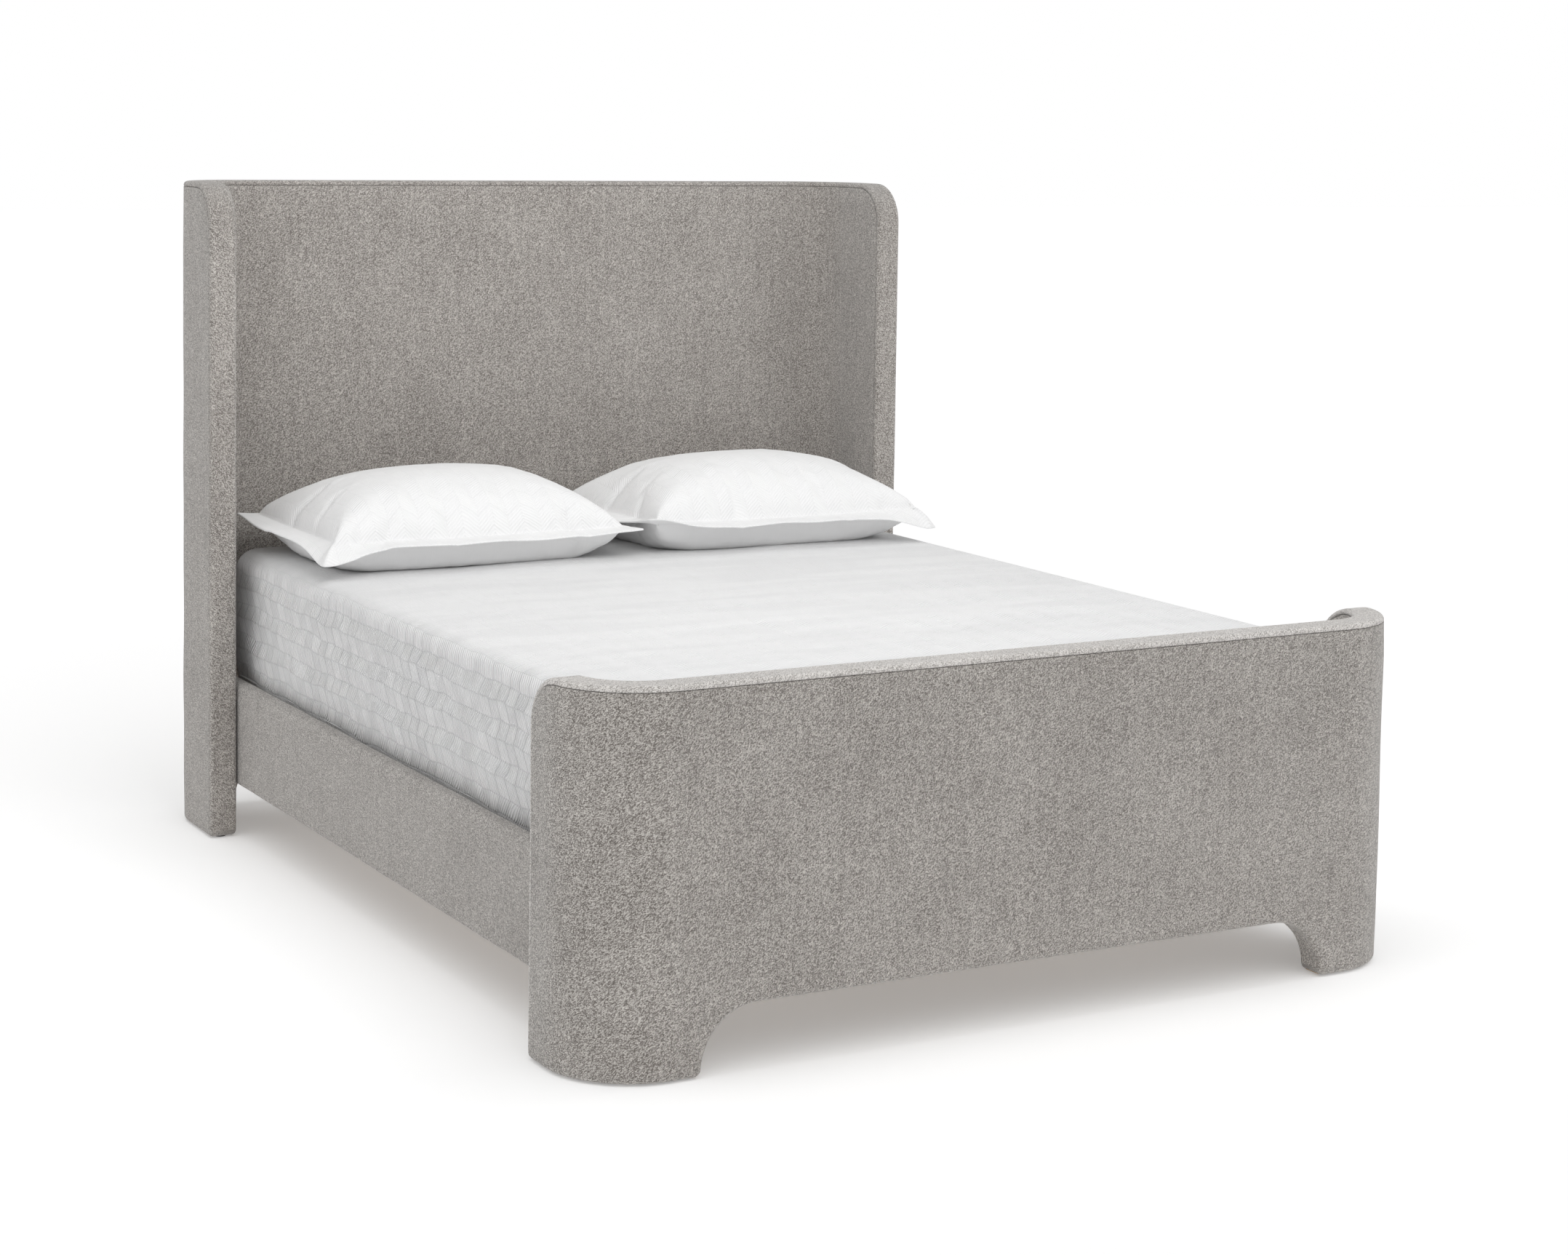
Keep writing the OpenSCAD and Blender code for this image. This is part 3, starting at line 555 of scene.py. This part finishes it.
def railSheets(f, side):
    # the section is carried along the rail and closes over a softened end
    rounds = (f["lowRound"], f["topRound"], f["topRound"], f["lowRound"])
    section = roundedSection(f["inner"], f["outer"], f["low"], f["high"], rounds, 7, 9)
    middle = np.array([(f["inner"] + f["outer"]) / 2, (f["low"] + f["high"]) / 2])
    endRound = f["endRound"]
    ends = [(-f["end"], 0.0), (-f["end"], 0.5), (-f["end"], 0.97)]
    turn = np.linspace(0, math.pi / 2, 4)
    shrink = [(-f["end"] + endRound * (1 - math.cos(a)), -endRound * (1 - math.sin(a))) for a in turn]
    ys = np.linspace(-f["end"] + endRound, f["end"] - endRound, 90)[1:-1]
    out, uv = [], []
    step = np.concatenate([[0], np.cumsum(np.linalg.norm(np.diff(section, axis=0), axis=1))])
    away = section - middle
    away = away / np.maximum(np.linalg.norm(away, axis=1, keepdims=True), 1e-9)
    stations = [(y, k, 0.0) for y, k in ends] + [(y, 1.0, i) for y, i in shrink] + [(y, 1.0, 0.0) for y in ys]
    stations += [(-y, k, i) for y, k, i in stations[:len(ends) + len(shrink)][::-1]]
    for y, keep, inset in stations:
        p = middle + (section - middle) * keep + away * inset
        if keep == 1.0:
            puff = slowWaves(np.full(len(p), y), p[:, 1], 21 + side, 0.3, 0.0005)
            p = p + away * puff[:, None] * np.where(np.abs(p[:, 0] - middle[0]) > 0.01, 1, 0)[:, None]
        out.append(np.stack([p[:, 0] * side, np.full(len(p), y), p[:, 1]], 1))
        uv.append(np.stack([np.full(len(p), y) - (1 - keep) * 0.02, step], 1))
    return [{"points": np.stack(out), "uv": np.stack(uv)}]


for railSide, railName in ((-1, "left"), (1, "right")):
    makePiece(f"{railName}_rail_upholstery", "bed_frame", railSheets(railForm, railSide), [upholstery],
              [f"{railName}_rail_cover", f"{railName}_rail_foam"])
print("rails covered")

bedForm = {
    "halfW": 0.767, "halfL": 1.021, "middle": -0.034, "low": 0.314, "high": 0.615,
    "corner": 0.065, "edge": 0.046, "cloth": 0.0040,
}


def slabEdges(f, inset):
    # rounded rectangle seen from above, as four edges that meet half-way round its corners
    r = f["corner"] - inset
    cx, cy = f["halfW"] - f["corner"], f["halfL"] - f["corner"]
    xs, ys = np.linspace(-cx, cx, 46)[1:-1], np.linspace(-cy, cy, 60)[1:-1]

    def arc(sx, sy, a0, a1):
        a = np.radians(np.linspace(a0, a1, 7))
        return np.stack([sx * cx + r * np.cos(a), sy * cy + r * np.sin(a)], 1)

    def run(first, lineX, lineY, second):
        return np.concatenate([first, np.stack([lineX, lineY], 1), second])

    bottom = run(arc(-1, -1, 225, 270), xs, np.full(len(xs), -cy - r), arc(1, -1, 270, 315))
    top = run(arc(-1, 1, 135, 90), xs, np.full(len(xs), cy + r), arc(1, 1, 90, 45))
    left = run(arc(-1, -1, 225, 180), np.full(len(ys), -cx - r), ys, arc(-1, 1, 180, 135))
    right = run(arc(1, -1, 315, 360), np.full(len(ys), cx + r), ys, arc(1, 1, 0, 45))
    return bottom, top, left, right


def slabSheets(f, seed, crown, bulge, tuck, under=False):
    # a top face, an edge rolled over a quarter circle, and a side that swells between top and bottom
    e = f["edge"]
    profile = [(e * (1 - math.sin(a)), f["high"] - e * (1 - math.cos(a))) for a in np.linspace(0, math.pi / 2, 9)]
    drop = f["high"] - e - f["low"] - (e if under else 0)
    profile += [(-bulge * math.sin(math.pi * k) + tuck * ease(k * 4 - 3), f["high"] - e - drop * k)
                for k in np.linspace(0, 1, 22)[1:]]
    if under:
        profile += [(e * (1 - math.cos(a)), f["low"] + e * (1 - math.sin(a)))
                    for a in np.linspace(0, math.pi / 2, 9)[1:]]
    grid, a, b = fillGrid(*slabEdges(f, profile[0][0]))
    base = aroundEdges(*slabEdges(f, 0.0))
    out = (base - aroundEdges(*slabEdges(f, 0.001))) / 0.001
    step = np.linalg.norm(np.diff(base, axis=0), axis=1)
    length = np.concatenate([[0], np.cumsum(step)])
    rings, walks, last = [], [0.0], None
    for i, z in profile:
        walks.append(walks[-1] + (math.dist((i, z), last) if last else 0.0))
        last = (i, z)
        amount = 0.0 if z > f["high"] - e / 2 else 0.0018
        ripple = slowWaves(base[:, 0] + base[:, 1], base[:, 0] - base[:, 1] + z * 2, seed, 0.34, amount)
        loop = base - out * (i - ripple)[:, None]
        rings.append(np.concatenate([loop + [0, f["middle"]], np.full((len(loop), 1), z)], 1))
    soft = ease(np.minimum(a, 1 - a) * 6) * ease(np.minimum(b, 1 - b) * 7)
    x, y = grid[..., 0], grid[..., 1] + f["middle"]
    lift = soft * (crown + slowWaves(x * 0.5, y, seed + 2, 0.22, crown * 0.5))
    sheets = [{"points": np.stack([x, y, f["high"] + lift], -1), "uv": np.stack([x, y], -1)}]
    # each half of the side is its own strip, measured from the middle of its long side on round the corners
    rings, down = np.stack(rings), f["halfW"] - e + np.array(walks[1:])[:, None]
    change = np.flatnonzero(np.diff(np.sign(base[:, 0] + 1e-9)))
    cuts = [0, change[0] + 1, change[1], len(base) - 1]
    for first, final, half in zip(cuts[:-1], cuts[1:], (-1, 1, -1)):
        middle = int(np.argmin(np.abs(base[:, 1]) + 9 * (np.sign(base[:, 0]) != half)))
        lap = length[-1] if first == 0 else 0
        along = half * (length[first:final + 1] - length[middle] + lap) + base[middle, 1] + f["middle"]
        coords = np.stack(np.broadcast_arrays(half * down, along[None, :]), -1)
        sheets.append({"points": rings[:, first:final + 1], "uv": coords, "flip": True})
    if under:
        flat, _, _ = fillGrid(*slabEdges(f, e))
        bottom = np.stack([flat[..., 0], flat[..., 1] + f["middle"], np.full(flat.shape[:2], f["low"])], -1)
        sheets.append({"points": bottom, "uv": flat + 2.0, "flip": True})
    return sheets


coverSheets = slabSheets(bedForm, 31, 0.0030, 0.0012, 0.006)
coverlet = makePiece("quilted_coverlet", "mattress_unit", coverSheets, [quilting], ["coverlet"],
                     closed=False)
cloth = coverlet.modifiers.new("thickness", "SOLIDIFY")
cloth.thickness, cloth.offset = bedForm["cloth"], -1.0

matForm = dict(bedForm, halfW=0.760, halfL=1.014, high=0.609, low=0.3108, corner=0.058, edge=0.030)
matSheets = slabSheets(matForm, 33, 0.001, 0.0005, 0.0, True)
mattress = makePiece("mattress_core", "mattress_unit", matSheets, [ticking], ["mattress"])


def pipingSheets(f, z, inset, radius):
    # a round cord sewn along the mattress edge
    loop = aroundEdges(*slabEdges(f, inset)) + [0, f["middle"]]
    a = np.linspace(0, 2 * math.pi, 9)
    out = (aroundEdges(*slabEdges(f, 0)) - aroundEdges(*slabEdges(f, 0.001))) / 0.001
    length = np.concatenate([[0], np.cumsum(np.linalg.norm(np.diff(loop, axis=0), axis=1))])
    points = np.concatenate([loop[None] + out[None] * (radius * np.cos(a))[:, None, None],
                             (z + radius * np.sin(a))[:, None, None] * np.ones((1, len(loop), 1))], -1)
    uv = np.stack([length[None] * np.ones((9, 1)), (a * radius)[:, None] * np.ones((1, len(loop)))], -1)
    return [{"points": points, "uv": uv}]


for pipeName, pipeZ in (("lower", 0.3335), ("upper", 0.5795)):
    makePiece(f"mattress_{pipeName}_piping", "mattress_unit",
              pipingSheets(matForm, pipeZ, 0.0005, 0.0028), [ticking])
print("bedding laid")

pillowForm = {
    "cut": (0.675, 0.488), "grid": (64, 48), "frames": 36,
    "pressure": 20, "weight": 0.2, "mass": 0.3, "stretch": 15, "shear": 5, "stiff": 0.5,
    "size": (0.682, 0.500, 0.200), "flange": (0.746, 0.560), "wall": 0.0022,
    "x": 0.379, "y": 0.696, "z": 0.6156, "seam": 0.062,
    "reach": 0.064, "droop": 0.004,             # how far the flange is drawn out, and how far its hem hangs
}


def pillowGrid(f):
    # both layers share one grid, from -0.5 to 0.5 across and along
    nu, nv = f["grid"]
    u, v = np.meshgrid(np.linspace(-0.5, 0.5, nu + 1), np.linspace(-0.5, 0.5, nv + 1))
    return u, v


def simulatePillow(f, seed):
    # two layers parted by a low dome are filled by pressure on a flat table; their seam pulls in and they wrinkle
    u, v = pillowGrid(f)
    dome = (1 - (2 * u) ** 4) * (1 - (2 * v) ** 4)
    x, y = u * f["cut"][0], v * f["cut"][1]
    jitter = slowWaves(x, y, seed, 0.06, 0.0015)
    sheets = [{"points": np.stack([x, y, 0.06 + s * 0.04 * dome + jitter * dome], -1),
               "uv": np.stack([u, v], -1), "flip": s < 0} for s in (1, -1)]
    trial = makePiece("pillowTrial", "mattress_unit", sheets, [plainWhite])
    trial.parent = None
    bpy.ops.mesh.primitive_plane_add(size=3, location=(0, 0, 0))
    table = bpy.context.object
    table.modifiers.new("rest", "COLLISION")
    table.collision.thickness_outer = 0.003
    cloth = trial.modifiers.new("fill", "CLOTH")
    s = cloth.settings
    s.quality, s.mass = 8, f["mass"]
    s.tension_stiffness = s.compression_stiffness = f["stretch"]
    s.shear_stiffness, s.bending_stiffness = f["shear"], f["stiff"]
    s.use_pressure, s.uniform_pressure_force = True, f["pressure"]
    s.effector_weights.gravity = f["weight"]
    cloth.collision_settings.distance_min = 0.003
    cloth.collision_settings.use_self_collision = False
    for number in range(1, f["frames"] + 1):
        bpy.context.scene.frame_set(number)
    shaped = trial.evaluated_get(bpy.context.evaluated_depsgraph_get()).data
    points = np.zeros(len(shaped.vertices) * 3)
    shaped.vertices.foreach_get("co", points)
    points = points.reshape(-1, 3)
    coords = np.zeros(len(trial.data.loops) * 2)
    trial.data.uv_layers[0].data.foreach_get("uv", coords)
    loopVert = np.zeros(len(trial.data.loops), dtype=np.int64)
    trial.data.loops.foreach_get("vertex_index", loopVert)
    polyNormal = np.zeros(len(trial.data.polygons) * 3)
    trial.data.polygons.foreach_get("normal", polyNormal)
    upLoop = np.repeat(polyNormal.reshape(-1, 3)[:, 2] > 0, 4)
    nu, nv = f["grid"]
    layers = []
    for isTop in (True, False):
        layer = np.zeros((nv + 1, nu + 1, 3))
        pick = upLoop == isTop
        column = np.rint((coords.reshape(-1, 2)[pick, 0] + 0.5) * nu).astype(int)
        row = np.rint((coords.reshape(-1, 2)[pick, 1] + 0.5) * nv).astype(int)
        layer[row, column] = points[loopVert[pick]]
        layers.append(layer)
    bpy.data.objects.remove(trial)
    bpy.data.objects.remove(table)
    bpy.context.scene.frame_set(1)
    return layers


def settle(layers, f):
    # the filled form is brought to its finished width, depth and height, standing on its lowest point
    both = np.concatenate([l.reshape(-1, 3) for l in layers])
    low, high = both.min(0), both.max(0)
    seamHigh = float(layers[0][0, :, 2].mean() - low[2])
    print("  pillow as filled:", np.round(high - low, 3).tolist(), "seam at", round(seamHigh, 3))
    size = np.array(f["size"])
    return [(l - [(low[0] + high[0]) / 2, (low[1] + high[1]) / 2, low[2]]) / (high - low) * size for l in layers]


def border(layer):
    # the layer's outer points, walked round once
    return np.concatenate([layer[0, :-1], layer[:-1, -1], layer[-1, ::-1][:-1], layer[::-1, 0]])


def shamSheets(f, layers, side, corners, seed):
    # the two layers part at the seam, and a flat flange runs out from it to a soft hem
    u, v = pillowGrid(f)
    cutW, cutL = f["cut"]
    wide, deep = f["flange"]
    seamLine = border(layers[0])
    edge = border(np.stack([u * wide, v * deep], -1))
    cut = border(np.stack([u * cutW, v * cutL], -1))
    drift = (edge - seamLine[:, :2])
    span = np.linalg.norm(drift, axis=1, keepdims=True)
    reach = np.minimum(span, f["reach"])
    outer = seamLine[:, :2] + drift * np.where(span > 0, (0.35 * reach + 0.65 * span) / np.maximum(span, 1e-9), 0)
    length = np.concatenate([[0], np.cumsum(np.linalg.norm(np.diff(edge, axis=0), axis=1))])
    fall = np.zeros(len(edge))
    for (cu, cv), amount in corners.items():
        gap = np.linalg.norm((edge / [wide, deep] - [cu / 2, cv / 2]) * [1.0, 0.75], axis=1)
        fall += amount * np.exp(-(gap / 0.13) ** 2)
    turn = length / length[-1] * 2 * math.pi
    draw = np.random.default_rng(seed)
    flutter = sum(draw.uniform(0.3, 1.0) * np.sin(k * turn + draw.uniform(0, 6.28)) for k in (5, 8, 11, 17)) * 0.0016
    wall = f["wall"]
    # share of the way out along the flange, and its half thickness there in walls
    shares = np.array([0.0, 0.06, 0.14, 0.3, 0.55, 0.8, 0.95, 0.985, 1.0])
    offs = wall * np.array([1, 0.8, 1, 1.1, 1, 1, 1, 0.8, 0])
    rows, coords = [], []
    for share, off in zip(shares, offs):
        flat = seamLine[:, :2] + (outer - seamLine[:, :2]) * share
        z = seamLine[:, 2] + (fall + flutter - f["droop"]) * share ** 1.4 + off
        rows.append(np.concatenate([flat, z[:, None]], 1))
        coords.append(cut + (flat - seamLine[:, :2]))
    topRows, topCoords = np.stack(rows), np.stack(coords)
    lowRows = topRows.copy()
    lowRows[:, :, 2] -= 2 * offs[:, None]
    place = np.array([side * f["x"], f["y"], f["z"]])
    inwards = 0.5 - np.maximum(np.abs(u), np.abs(v))
    gather = ease(1 - inwards * 5) * ease(inwards * 40)
    pucker = gather * slowWaves(u * cutW, v * cutL, seed + 5, 0.045, 0.0026)
    parted = []
    nearSeam = ease(1 - inwards * 14)
    for layer, sign in zip(layers, (1, -1)):
        layer = layer.copy()
        layer[..., 2] += sign * wall * nearSeam + (np.maximum(pucker, -0.001) if sign < 0 else 0)
        parted.append(layer)
    plain = np.stack([u * cutW, v * cutL], -1)
    return [{"points": parted[0] + place, "uv": plain + side},
            {"points": topRows + place, "uv": topCoords + side, "flip": True},
            {"points": lowRows + place, "uv": topCoords + 2 * side, "finish": 1},
            {"points": parted[1] + place, "uv": plain + 2 * side, "flip": True, "finish": 1}]


shamCorners = {
    -1: {(-1, -1): -0.034, (1, -1): -0.001, (-1, 1): 0.004, (1, 1): 0.004},
    1: {(-1, -1): 0.020, (1, -1): -0.040, (-1, 1): 0.006, (1, 1): 0.012},
}
for pillowSide, pillowName in ((-1, "left"), (1, "right")):
    fill = simulatePillow(pillowForm, 41 + pillowSide)
    fill = settle(fill, pillowForm)
    body = f"{pillowName}_pillow_unit"
    cover = shamSheets(pillowForm, fill, pillowSide, shamCorners[pillowSide], 51 + pillowSide)
    sham = makePiece(f"{pillowName}_quilted_sham", body, cover, [shamQuilting, plainWhite],
                     [f"{pillowName}_sham"])
    finer = sham.modifiers.new("finer", "SUBSURF")
    finer.levels = finer.render_levels = 1
    seam = pillowForm["seam"]
    spot = [pillowSide * pillowForm["x"], pillowForm["y"], pillowForm["z"] + seam]
    inner = [(layer - [0, 0, seam]) * [0.985, 0.98, 0.955] + spot for layer in fill]
    gridU, gridV = pillowGrid(pillowForm)
    flatUv = np.stack([gridU * 0.7, gridV * 0.5], -1)
    pillow = makePiece(f"{pillowName}_down_pillow", body,
                       [{"points": inner[0], "uv": flatUv}, {"points": inner[1], "uv": flatUv, "flip": True}],
                       [pillowTicking], [f"{pillowName}_pillow"])
    print(pillowName, "pillow filled")

overEdge = bedForm["edge"] * math.pi / 2 + bedForm["high"] - bedForm["edge"] - bedForm["low"]
flatW = 2 * (bedForm["halfW"] - bedForm["edge"] + overEdge)
flatL = flatW + 2 * (bedForm["halfL"] - bedForm["halfW"])
cornerCut = 4 * (bedForm["high"] - bedForm["low"] - bedForm["edge"] * 0.43) ** 2
flatW * flatL - cornerCut

framePaint = {
    plywood: ["headboard_back_skin", "headboard_front_skin", "headboard_rib_1", "headboard_rib_2", "headboard_rib_3",
              "headboard_rib_4", "headboard_foot_plates", "footboard_front_skin", "footboard_back_skin",
              "footboard_rib_1", "footboard_rib_2", "footboard_rib_3", "footboard_foot_plates"],
    pineUp: ["headboard_left_post", "headboard_right_post", "headboard_studs", "footboard_left_post",
             "footboard_right_post", "footboard_studs", "headboard_rail_blocks", "footboard_rail_blocks",
             "center_leg_1", "center_leg_2"],
    pineAlong: ["left_rail_board", "right_rail_board", "left_rail_cleat", "right_rail_cleat"],
    pineAcross: ["slats"],
    zinc: ["headboard_slot_plates", "footboard_slot_plates", "left_rail_hooks", "right_rail_hooks", "rail_bolts",
           "plate_screws", "cleat_screws", "slat_screws", "beam_bracket_head", "beam_bracket_foot"],
    blackSteel: ["center_beam", "leveller_1", "leveller_2"],
    nylon: ["headboard_glides", "footboard_glides"],
    webbing: ["slat_straps"],
}
for finish, names in framePaint.items():
    for name in names:
        nodes[name].data.materials.clear()
        nodes[name].data.materials.append(finish)
print("frame parts finished")

roomSetup = {
    "floor": (0.94, 0.94, 0.94, 1), "glow": 0.22, "sky": 0.56,
    "sun": (-0.02, -0.38, 1.0), "sunPower": 1.0, "sunSpread": 80,
    "lamp": (-0.2, -1.0, 2.0), "lampTarget": (0, 0.95, 1.0), "lampSize": (2.0, 0.8), "lampPower": 12.0,
}


def makeRoom(r):
    # a wide pale floor under an even sky, white where the camera sees past the floor
    bpy.ops.mesh.primitive_plane_add(size=80, location=(0, 0, 0))
    floor = bpy.context.object
    floor.name = "studio_floor"
    b = Bench("paleFloor", Roughness=0.8, Specular_IOR_Level=0.1, Emission_Color=(1, 1, 1, 1),
              Emission_Strength=r["glow"])
    haze = b.noise(b.place("Object"), 0.6, 2, 0.5)
    floor.data.materials.append(b.use(b.mix(haze * 0.3, r["floor"], tuple(c * 0.98 for c in r["floor"][:3]) + (1,))))
    world = bpy.data.worlds.new("studio")
    bpy.context.scene.world = world
    world.use_nodes = True
    sky, links = world.node_tree.nodes["Background"], world.node_tree.links
    sky.inputs[0].default_value = (1, 1, 1, 1)
    sky.inputs[1].default_value = r["sky"]
    backdrop = world.node_tree.nodes.new("ShaderNodeBackground")
    backdrop.inputs[0].default_value = (1, 1, 1, 1)
    both, path = world.node_tree.nodes.new("ShaderNodeMixShader"), world.node_tree.nodes.new("ShaderNodeLightPath")
    links.new(path.outputs["Is Camera Ray"], both.inputs[0])
    links.new(sky.outputs[0], both.inputs[1])
    links.new(backdrop.outputs[0], both.inputs[2])
    links.new(both.outputs[0], world.node_tree.nodes["World Output"].inputs[0])
    bpy.context.scene.view_settings.view_transform = "Standard"


def makeSun(name, source, power, spread):
    # soft light from the direction of source
    data = bpy.data.lights.new(name, "SUN")
    data.energy, data.angle = power, math.radians(spread)
    lamp = bpy.data.objects.new(name, data)
    bpy.context.scene.collection.objects.link(lamp)
    lamp.rotation_euler = Vector(source).to_track_quat("Z", "Y").to_euler()


def makeBedLamp(place, target, size, power):
    # an unseen lamp over the foot end that faces the headboard
    data = bpy.data.lights.new("bedLamp", "AREA")
    data.shape, data.size, data.size_y, data.energy = "RECTANGLE", size[0], size[1], power
    lamp = bpy.data.objects.new("bedLamp", data)
    bpy.context.scene.collection.objects.link(lamp)
    lamp.location = place
    lamp.visible_camera = False
    lamp.rotation_euler = (Vector(place) - Vector(target)).to_track_quat("Z", "Y").to_euler()


makeRoom(roomSetup)
makeSun("softbox", roomSetup["sun"], roomSetup["sunPower"], roomSetup["sunSpread"])
makeBedLamp(roomSetup["lamp"], roomSetup["lampTarget"], roomSetup["lampSize"], roomSetup["lampPower"])
print("studio lit")
